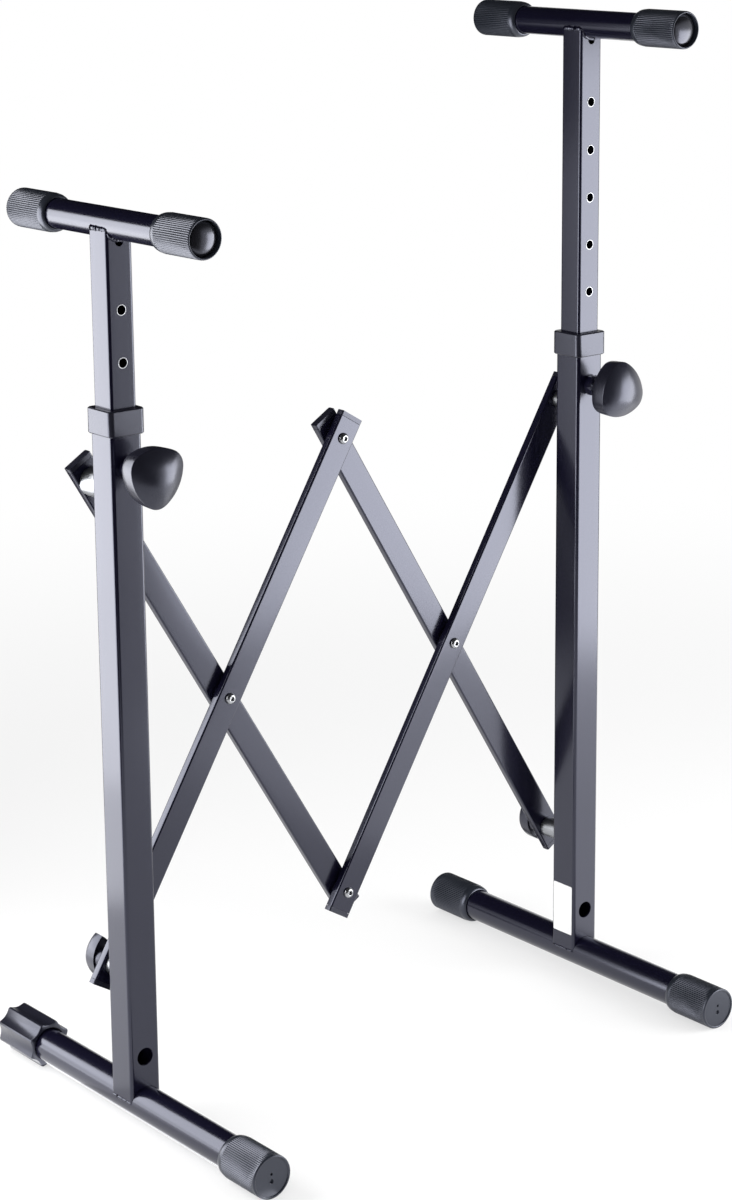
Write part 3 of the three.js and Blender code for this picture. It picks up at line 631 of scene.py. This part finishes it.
def eye_shaped(angle, ring):
    radius = ring[0]
    if radius <= EYE_HUB:
        return radius
    across = EYE_OFFSET * abs(math.sin(angle))
    reach = math.sqrt(EYE_ARC ** 2 - (EYE_OFFSET * math.cos(angle)) ** 2) - across
    return EYE_HUB + (radius - EYE_HUB) * (reach - EYE_HUB) / (EYE_TIP - EYE_HUB)


eye = turn_piece("eye_knob", [
    (EYE_BORE, EYE_BORE_DEPTH),
    (EYE_BORE, 0),
    (EYE_HUB - 0.8, 0),
    (EYE_HUB, 0.8),
    (EYE_HUB, EYE_HUB + 2.5),
    (EYE_TIP - 1.8, EYE_HUB + 2.5),
    (EYE_TIP - 1.6, EYE_HUB + 0.4),
    (EYE_TIP - 1.2, EYE_HUB),
    (EYE_TIP - 0.4, EYE_HUB),
    (EYE_TIP, EYE_HUB + 0.5),
    (EYE_TIP, EYE_HUB + EYE_DEPTH - 2.4),
    (EYE_TIP - 0.4, EYE_HUB + EYE_DEPTH - 1.0),
    (EYE_TIP - 1.5, EYE_HUB + EYE_DEPTH - 0.1),
    (EYE_TIP - 3.5, EYE_HUB + EYE_DEPTH + 0.35),
    (EYE_HUB, EYE_HUB + EYE_DEPTH + 0.8),
    (0, EYE_HUB + EYE_DEPTH + 1),
], 96, eye_shaped, sharp=45)

for side, turn in EYE_TURNS.items():
    node = f"{side}_clamp_knob"
    bolt = middle(f"{side}_slide_bolt")
    seat = Vector((bolt.x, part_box(node)[0].y, bolt.z))
    fit(f"{side}_eye_knob", turned(eye, -turn), "plastic", node, seat)
print("eye knob faces:", len(eye.polygons))

# %% [markdown]
# ## The levelling cap
# One foot ends in a star with eight blunt points and hollow flanks, bored off centre, so that turning it
# lifts the foot a little. Its points have small radii and both ends are chamfered, which the flat solid
# leaves out, so it is built again from the same star.

# %% Star cap
STAR_POINTS, STAR_CENTRE, STAR_SCALLOP, STAR_LENGTH = 8, 19.914, 1.7, 54
STAR_HOLLOW = math.pi / STAR_POINTS - math.radians(2.25)
STAR_TIP = STAR_CENTRE / math.cos(STAR_HOLLOW)
STAR_BORE, STAR_MOUTH = 15.25, 15.6


def star_radius(angle):
    """Scalloped flank around each quarter turn, blunt point between two flanks."""
    pitch = 2 * math.pi / STAR_POINTS
    off = abs((angle + pitch / 2) % pitch - pitch / 2)
    if off >= STAR_HOLLOW:
        return STAR_TIP
    share = 1 - (off / STAR_HOLLOW) ** 2
    return STAR_CENTRE / math.cos(off) - STAR_SCALLOP * share


def star_outline(angle, ring):
    return ring[0] if ring[0] <= STAR_MOUTH else star_radius(angle) - (STAR_TIP - ring[0])


star = turn_piece("levelling_star", [
    (STAR_BORE, 10),
    (STAR_BORE, 0.4),
    (STAR_MOUTH, 0),
    (STAR_TIP - 0.9, 0),
    (STAR_TIP - 0.25, 0.3),
    (STAR_TIP, 1.0),
    (STAR_TIP, STAR_LENGTH - 1.2),
    (STAR_TIP - 0.3, STAR_LENGTH - 0.4),
    (STAR_TIP - 1.1, STAR_LENGTH),
    (15.2, STAR_LENGTH),
    (14.4, STAR_LENGTH - 0.8),
    (0, STAR_LENGTH - 0.8),
], 160, star_outline, sharp=35)
fit("left_star_cap", star, "plastic", "left_levelling_cap", inner_end("left_levelling_cap", 1))
print("star cap faces:", len(star.polygons))

# %% [markdown]
# ## Screws and nuts
# Zinc plated hardware: button heads with a hexagon socket on the front of the scissor, nuts behind it,
# domed heads on the upper pivots, and threaded lock screws that show between the column and the knob.
# A chamfered nut is a hexagon cut by a cone, which is the smaller of two radii at every angle.

# %% Hexagons and threads
def hexagon(width, angle):
    """Distance from the axis to a hexagon that measures width across its flats."""
    off = (angle + math.pi / 6) % (math.pi / 3) - math.pi / 6
    return width / 2 / math.cos(off)


def nut_outline(width):
    return lambda angle, ring: min(ring[0], hexagon(width, angle)) if ring[0] > width / 3 else ring[0]


def nut_rings(width, low, high):
    corner = width / 2 / math.cos(math.pi / 6)
    return [(width / 2 - 0.1, low), (corner, low + 0.16 * width / 2 + 0.2),
            (corner, high - 0.16 * width / 2 - 0.2), (width / 2 - 0.1, high)]


# %% Pivot screws
HEAD_FRONT, SOCKET, SHANK = 23.9, 4.0, 3.0
PIVOT_NUT, NUT_FRONT, NUT_BACK = 10.0, 46.0, 50.5


def pivot_outline(angle, ring):
    if len(ring) > 2:
        return hexagon(ring[2], angle) if ring[2] < PIVOT_NUT else min(ring[0], hexagon(ring[2], angle))
    return ring[0]


pivot = turn_piece("pivot_screw", [
    (0, HEAD_FRONT + 1.9),
    (1.9, HEAD_FRONT + 1.9, SOCKET),
    (1.9, HEAD_FRONT + 0.1, SOCKET),
    (2.2, HEAD_FRONT, SOCKET + 0.35),
    (2.9, HEAD_FRONT + 0.05),
    (3.8, HEAD_FRONT + 0.55),
    (4.5, HEAD_FRONT + 1.3),
    (4.9, HEAD_FRONT + 2.2),
    (5.0, HEAD_FRONT + 3.0),
    (SHANK, HEAD_FRONT + 3.0),
    (SHANK, NUT_FRONT),
    (4.9, NUT_FRONT, PIVOT_NUT),
    (5.78, NUT_FRONT + 0.7, PIVOT_NUT),
    (5.78, NUT_BACK - 0.7, PIVOT_NUT),
    (4.9, NUT_BACK, PIVOT_NUT),
    (SHANK, NUT_BACK),
    (SHANK, NUT_BACK + 0.7),
    (SHANK - 0.3, NUT_BACK + 1.0),
    (0, NUT_BACK + 1.0),
], 48, pivot_outline, sharp=35)
for name in ("left_centre", "top", "right_centre", "bottom"):
    node = f"{name}_pivot_screw"
    seat = middle(node)
    seat.y = 0
    fit(f"{name}_socket_screw", pivot, "zinc", node, seat)
print("pivot screw faces:", len(pivot.polygons))

# %% Upper pivot screws
DOMED_HEAD = 5  # height of the head


def domed_screw(seat, end):
    """Shank from the column to the link, low round head behind the link."""
    head = [(7 * math.cos(turn), seat + 1.5 + 3.5 * math.sin(turn))
            for turn in [math.radians(9 * step) for step in range(9)]]
    return [(0, end), (4, end), (4, seat), (6.6, seat), (7, seat + 0.4), *head, (0, seat + DOMED_HEAD)]


for side in ("left", "right"):
    node = f"{side}_upper_screw"
    low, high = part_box(node)
    screw = turn_piece(f"{side}_domed_screw", domed_screw(high.y / MM - DOMED_HEAD, low.y / MM), 40)
    seat = middle(node)
    seat.y = 0
    fit(f"{side}_domed_screw", screw, "zinc", node, seat)

# %% Lock screws and their welded nuts
THREAD_RADIUS, THREAD_PITCH, THREAD_DEPTH = 5.0, 1.5, 0.75
LOCK_NUT, LOCK_NUT_BORE = 17, 5.3


def threaded(angle, ring):
    """Radius that follows a triangular thread once round for every pitch along the screw."""
    if len(ring) < 3:
        return ring[0]
    along = (ring[1] / THREAD_PITCH + angle / (2 * math.pi)) % 1
    return ring[0] - THREAD_DEPTH * abs(2 * along - 1)


def lock_screw_rings(tip, end):
    rings = [(0, tip), (3.8, tip), (4.6, tip - 0.8)]
    step = THREAD_PITCH / 4
    count = int((tip - 1.2 - end) / step)
    rings += [(THREAD_RADIUS, tip - 1.2 - step * i, 1) for i in range(count)]
    return rings + [(4.2, end), (0, end)]


for side in ("left", "right"):
    node = f"{side}_lock_screw"
    low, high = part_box(node)
    seat = middle(node)
    seat.y = 0
    rings = lock_screw_rings(high.y / MM, low.y / MM)
    screw = turn_piece(f"{side}_threaded_screw", rings, 28, threaded, sharp=60)
    fit(f"{side}_threaded_screw", screw, "zinc", node, seat)
    node = f"{side}_lock_nut"
    front, back = (corner.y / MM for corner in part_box(node))
    bore_front, bore_back = (LOCK_NUT_BORE, front), (LOCK_NUT_BORE, back)
    rings = [bore_front, *nut_rings(LOCK_NUT, front, back), bore_back, bore_front]
    nut = turn_piece(f"{side}_welded_nut", rings, 48, nut_outline(LOCK_NUT), sharp=30)
    fit(f"{side}_welded_nut", nut, "coated_steel", node, seat)

# %% Slide bolts
BOLT_RADIUS, BOLT_HEAD, BOLT_HEAD_HEIGHT, BOLT_EDGE = 4, 10, 4, 0.6
for side in ("left", "right"):
    node = f"{side}_slide_bolt"
    low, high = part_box(node)
    head, end = low.y / MM, high.y / MM
    bolt = turn_piece(f"{side}_flat_bolt", [
        (0, head),
        (BOLT_HEAD - BOLT_EDGE, head),
        (BOLT_HEAD, head + BOLT_EDGE),
        (BOLT_HEAD, head + BOLT_HEAD_HEIGHT - BOLT_EDGE),
        (BOLT_HEAD - BOLT_EDGE, head + BOLT_HEAD_HEIGHT),
        (BOLT_RADIUS, head + BOLT_HEAD_HEIGHT),
        (BOLT_RADIUS, end - BOLT_EDGE),
        (BOLT_RADIUS - BOLT_EDGE, end),
        (0, end),
    ], 40)
    seat = middle(node)
    seat.y = 0
    fit(f"{side}_flat_bolt", bolt, "zinc", node, seat)

# %% [markdown]
# ## Weld beads
# The bar is welded to the mast, and the column to the foot tube. A bead is a lumpy half-round line laid by
# hand, then coated with the rest. It is a tube of rings along the joint whose radius follows a slow noise, sunk
# so far into the joint that only its rounded front shows. The bead across the front of the mast under the bar
# is painted shade: a dark line that stands for the shadowed underside of the bar.

# %% Beads along a joint
def bead(name, path, radius, seed):
    """Tube of rings along a list of points in millimetres, thinner at both ends."""
    shell = bmesh.new()
    rows, spokes = [], 10
    for i, point in enumerate(path):
        here = Vector(point)
        ahead = Vector(path[min(i + 1, len(path) - 1)]) - Vector(path[max(i - 1, 0)])
        side = ahead.normalized().cross(Vector((0, 0, 1))).normalized()
        up = side.cross(ahead.normalized())
        lump = 1 + 0.5 * noise.noise(Vector((seed, i * 0.7, 0.3))) + 0.12 * math.cos(i * 1.9)
        taper = min(1, 0.45 + 0.25 * min(i, len(path) - 1 - i))
        size = radius * lump * taper
        row = []
        for spoke in range(spokes):
            turn = 2 * math.pi * spoke / spokes
            row.append(shell.verts.new((here + size * (math.cos(turn) * side + math.sin(turn) * up)) * MM))
        rows.append(row)
    for low, high in zip(rows, rows[1:]):
        for spoke in range(spokes):
            after = (spoke + 1) % spokes
            shell.faces.new([low[spoke], low[after], high[after], high[spoke]])
    shell.faces.new(rows[0])
    shell.faces.new(list(reversed(rows[-1])))
    bmesh.ops.recalc_face_normals(shell, faces=shell.faces)
    return mesh_of(name, shell, 60)


FRONT_SHADE_BEAD, MAST_BEAD, COLUMN_BEAD, BEAD_STEP = 1.6, 2.3, 1.5, 0.8
for side in ("left", "right"):
    bar = middle(f"{side}_top_bar") / MM
    foot = middle(f"{side}_foot_tube") / MM
    across = [-11 + BEAD_STEP * i for i in range(28)]
    # the bead across the front under the bar is painted shade, a dark line for the shadowed underside of the
    # bar
    along = [(bar.x + x, -12.7, bar.z - math.sqrt(BAR_RADIUS ** 2 - x ** 2) - 0.5) for x in across]
    fit(f"{side}_mast_bead_front", bead(f"{side}_mast_bead_front", along, FRONT_SHADE_BEAD, 2 + bar.x),
        "coated_steel", f"{side}_mast", (0, 0, 0), stands_for=False)
    for hand, sign in (("inner", 1), ("outer", -1)):
        along = [(bar.x + sign * 11.4, -11.8 + BEAD_STEP * i, bar.z - 3.6) for i in range(30)]
        fit(f"{side}_mast_bead_{hand}", bead(f"{side}_mast_bead_{hand}", along, MAST_BEAD, sign + bar.x),
            "coated_steel", f"{side}_mast", (0, 0, 0), stands_for=False)
        along = [(foot.x + sign * 14.4, -13.6 + BEAD_STEP * i, foot.z + 2.6) for i in range(35)]
        fit(f"{side}_column_bead_{hand}", bead(f"{side}_column_bead_{hand}", along, COLUMN_BEAD, sign + foot.x),
            "coated_steel", f"{side}_column", (0, 0, 0), stands_for=False)

# %% [markdown]
# ## Rims of the height holes
# The holes are punched before the mast is coated, and each gets a thin raised lip of bright zinc, a painted
# highlight that stands for the shine on the coated edge of the hole. A bevel on the mast would round its
# corners too, so the lips are rings of their own: a section of five points, about a fifth of a millimetre high,
# turned about the axis of every hole.

# %% Hole rims
HOLE_RADIUS, LIP_WIDTH, LIP_HEIGHT = 4.0, 0.7, 0.22
FIRST_HOLE, HOLE_PITCH, HOLE_COUNT = 69, 43, 8
LIP_STEPS = 32


def hole_lips(name, bar, face):
    """Rings round the holes below a bar, on the mast's front face; all in millimetres."""
    shell = bmesh.new()
    section = ((0, 0.05), (0, -0.7), (0.35, -1), (0.8, -0.6), (1, 0.05))
    for drop in [FIRST_HOLE + HOLE_PITCH * i for i in range(HOLE_COUNT)]:
        rows = []
        for step in range(LIP_STEPS):
            turn = 2 * math.pi * step / LIP_STEPS
            rows.append([shell.verts.new(Vector((
                bar.x + (HOLE_RADIUS + out * LIP_WIDTH) * math.sin(turn),
                face + rise * LIP_HEIGHT,
                bar.z - drop + (HOLE_RADIUS + out * LIP_WIDTH) * math.cos(turn),
            )) * MM) for out, rise in section])
        for low, high in zip(rows, rows[1:] + rows[:1]):
            for i in range(len(section)):
                after = (i + 1) % len(section)
                shell.faces.new([low[i], low[after], high[after], high[i]])
    bmesh.ops.recalc_face_normals(shell, faces=shell.faces)
    return mesh_of(name, shell, 60)


for side in ("left", "right"):
    low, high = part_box(f"{side}_mast")
    # the bright zinc lips are a painted highlight for the shine on the coated hole edges
    lips = hole_lips(f"{side}_hole_rim_highlights", middle(f"{side}_top_bar") / MM, low.y / MM)
    fit(f"{side}_hole_rim_highlights", lips, "zinc", f"{side}_mast", (0, 0, 0), stands_for=False)

# %% [markdown]
# ## The paper label
# A small pale label is stuck on the side of the right column that faces the left stand, just above the
# foot. It is a blank sheet with rounded corners, an eighth of a millimetre thick, so it has its own edge.

# %% Blank label
LABEL_WIDTH, LABEL_HEIGHT, LABEL_CORNER, LABEL_THICKNESS = 25, 49, 1.2, 0.12
LABEL_CENTRE = 0.0625  # metres above the floor


def rounded_sheet(name, width, height, corner, thickness):
    sheet = bmesh.new()
    points = []
    for quarter, (x, z) in enumerate(((1, 1), (-1, 1), (-1, -1), (1, -1))):
        for step in range(5):
            turn = math.pi / 2 * (quarter + step / 4)
            points.append((x * (width / 2 - corner) + corner * math.cos(turn),
                           z * (height / 2 - corner) + corner * math.sin(turn)))
    back, front = ([sheet.verts.new((x * MM, -y * MM, z * MM)) for y, z in points] for x in (0, -thickness))
    sheet.faces.new(back)
    sheet.faces.new(front)
    for i in range(len(points)):
        after = (i + 1) % len(points)
        sheet.faces.new([back[i], back[after], front[after], front[i]])
    bmesh.ops.recalc_face_normals(sheet, faces=sheet.faces)
    return mesh_of(name, sheet, 30)


low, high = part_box("right_column")
label = rounded_sheet("blank_label", LABEL_WIDTH, LABEL_HEIGHT, LABEL_CORNER, LABEL_THICKNESS)
fit("right_blank_label", label, "label_paper", "right_column",
    (low.x, (low.y + high.y) / 2, LABEL_CENTRE), stands_for=False)

# %% [markdown]
# ## Floor, backdrop and lamps
# The stand is black and satin, so it shows mostly what it mirrors, and an even bright sky would turn every
# face the same grey. The drawing is done by lamps that the camera doesn't see. A soft box at the left, with
# a bright upper and a dimmer lower part, is mirrored in the sides turned to the left. A faint one stands
# further back, and one at the front right is mirrored in the fronts. Three lamps lie on the floor. Two dark
# flags, seen only in reflections, stand behind the object and round the camera.

# %% Floor
WHITE = (0.9, 0.9, 0.9)
NEAR, FAR, NEAR_GLOW, FAR_GLOW = 0.7, 2.2, 0.6, 1.0


def floor_finish():
    """Lit like any pale floor near the stand, and white of its own far from it, also in reflections."""
    skin = Finish("floor", Roughness=0.6, Specular_IOR_Level=0.1)
    skin.shader.inputs["Base Color"].default_value = (*WHITE, 1)
    glow = skin.node("ShaderNodeEmission", inputs={"Color": (1, 1, 1, 1), "Strength": 1.0})
    rays = [skin.node("ShaderNodeLightPath", output=name)
            for name in ("Is Camera Ray", "Is Glossy Ray", "Is Transmission Ray")]
    seen = skin.node("ShaderNodeMath", {"operation": "MINIMUM"}, {0: rays[0] + rays[1] + rays[2], 1: 1.0})
    away = skin.node("ShaderNodeVectorMath", {"operation": "LENGTH"}, {0: skin.place()}, output="Value")
    share = skin.node("ShaderNodeMapRange", {"interpolation_type": "SMOOTHSTEP"},
                      {"Value": away, "From Min": NEAR, "From Max": FAR,
                       "To Min": NEAR_GLOW, "To Max": FAR_GLOW})
    lit = Wire(skin, skin.shader.outputs[0])
    mixed = skin.node("ShaderNodeMixShader", inputs={0: seen * share, 1: lit, 2: glow})
    skin.plug(skin.tree.nodes["Material Output"].inputs["Surface"], mixed)
    return skin.material


ground = bmesh.new()
bmesh.ops.create_grid(ground, x_segments=8, y_segments=8, size=80)
floor_mesh = mesh_of("floor", ground)
floor_mesh.materials.append(floor_finish())
floor = bpy.data.objects.new("floor", floor_mesh)
bpy.context.scene.collection.objects.link(floor)
floor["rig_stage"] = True

# %% World
AMBIENT, SKY_SEEN = 0.8, 0.02
BAND_TOP, BAND_FADE = 0.12, 0.2
world = bpy.data.worlds.new("studio")
bpy.context.scene.world = world
world.use_nodes = True


class Studio(Finish):
    """The world's node tree, with the same tools as a finish."""

    def __init__(self, tree):
        self.tree = tree


studio = Studio(world.node_tree)
direction = studio.node("ShaderNodeTexCoord", output="Generated")
height = studio.node("ShaderNodeSeparateXYZ", inputs={0: direction}, output="Z")
band = studio.node("ShaderNodeMapRange", {"interpolation_type": "SMOOTHSTEP"},
                   {"Value": height, "From Min": BAND_TOP, "From Max": BAND_TOP + BAND_FADE,
                    "To Min": 1.0, "To Max": 0.0})
camera_ray = studio.node("ShaderNodeLightPath", output="Is Camera Ray")
glossy_ray = studio.node("ShaderNodeLightPath", output="Is Glossy Ray")
clear_ray = studio.node("ShaderNodeLightPath", output="Is Transmission Ray")
mirrored = band * (1 - SKY_SEEN) + SKY_SEEN
strength = camera_ray + (1 - camera_ray) * (glossy_ray * mirrored + clear_ray
                                           + (1 - glossy_ray) * (1 - clear_ray) * AMBIENT)
background = world.node_tree.nodes["Background"]
background.inputs["Color"].default_value = (1, 1, 1, 1)
studio.plug(background.inputs["Strength"], strength)

# %% Lamps
def soft_box(name, near_edge, far_edge, low, high, radiance):
    """An upright lamp between two points of the floor plan.

    It shines to the left of the line from near to far.
    """
    along = Vector((far_edge[0] - near_edge[0], far_edge[1] - near_edge[1], 0))
    lamp = panel_lamp(name, along.length, high - low, radiance)
    lamp.location = (near_edge[0] + along.x / 2, near_edge[1] + along.y / 2, (low + high) / 2)
    lamp.rotation_mode = "QUATERNION"
    lamp.rotation_quaternion = Vector((-along.y, along.x, 0)).to_track_quat("-Z", "Y")


def floor_box(name, start, end, width, radiance):
    """A lamp that lies on the floor and shines up, along a line between two points."""
    along = Vector((end[0] - start[0], end[1] - start[1], 0))
    lamp = panel_lamp(name, along.length, width, radiance)
    lamp.location = (start[0] + along.x / 2, start[1] + along.y / 2, 0.002)
    lamp.rotation_euler = (math.pi, 0, math.atan2(along.y, along.x))


def panel_lamp(name, width, height, radiance):
    data = bpy.data.lights.new(name, "AREA")
    data.shape, data.size, data.size_y = "RECTANGLE", width, height
    data.energy = radiance * math.pi * width * height
    lamp = bpy.data.objects.new(name, data)
    bpy.context.scene.collection.objects.link(lamp)
    lamp.visible_camera = False
    return lamp


OUTER_LINE = (-0.42, 0.473), (-0.995, 0.095)
soft_box("outer_sides", *OUTER_LINE, 0.14, 0.92, 5.6)
soft_box("outer_feet", *OUTER_LINE, 0.01, 0.14, 3.4)
soft_box("inner_sides", (-0.55, 1.0), (-0.95, 1.0), 0.16, 0.64, 0.8)
soft_box("fronts", (0.595, -1.025), (1.145, -0.475), 0.03, 0.83, 6.4)
floor_box("outer_floor", (-0.31, 0.05), (-0.56, 0.42), 0.3, 0.5)
floor_box("front_floor", (0.32, -0.45), (1.3, -0.45), 0.9, 0.9)
floor_box("left_foot_floor", (-0.26, -0.2), (-0.26, 0.2), 0.02, 1.5)

# %% Dark flags
def black_cloth():
    skin = Finish("black_cloth", Specular_IOR_Level=0.0)
    weave = skin.cloud(300, detail=1)
    return skin.wear(Base_Color=skin.blend(weave, (0.003, 0.003, 0.003), (0.006, 0.006, 0.006)))


def dark_flag(name, rows):
    """Black cloth through rows of points, which only reflections see."""
    sheet = bmesh.new()
    rows = [[sheet.verts.new(point) for point in row] for row in rows]
    for low_row, high_row in zip(rows, rows[1:]):
        for i in range(len(low_row) - 1):
            sheet.faces.new([low_row[i], low_row[i + 1], high_row[i + 1], high_row[i]])
    cloth = mesh_of(name, sheet)
    cloth.materials.append(CLOTH)
    flag = bpy.data.objects.new(name, cloth)
    bpy.context.scene.collection.objects.link(flag)
    flag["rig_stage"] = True
    for way in ("camera", "diffuse", "transmission", "shadow"):
        setattr(flag, f"visible_{way}", False)


CLOTH = black_cloth()
BACK_PROFILE = (0.75, 0.004), (1.05, 0.004), (1.05, 2.2)
CAMERA_PLAN = (-1.02, 0.05), (-1.2, -1.1), (0.2, -1.1)
dark_flag("back_flag", [[(x, y, z) for x in (-0.85, 0.9)] for y, z in BACK_PROFILE])
dark_flag("camera_flag", [[(x, y, z) for x, y in CAMERA_PLAN] for z in (0.004, 1.8)])

# %% [markdown]
# ## Measure and finish
# The dressed model should stay inside the box of the solids, so its own box is printed.

# %% Sizes
bpy.context.view_layer.update()
low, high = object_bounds()
print("the dressed stand reaches from", tuple(low), "to", tuple(high))
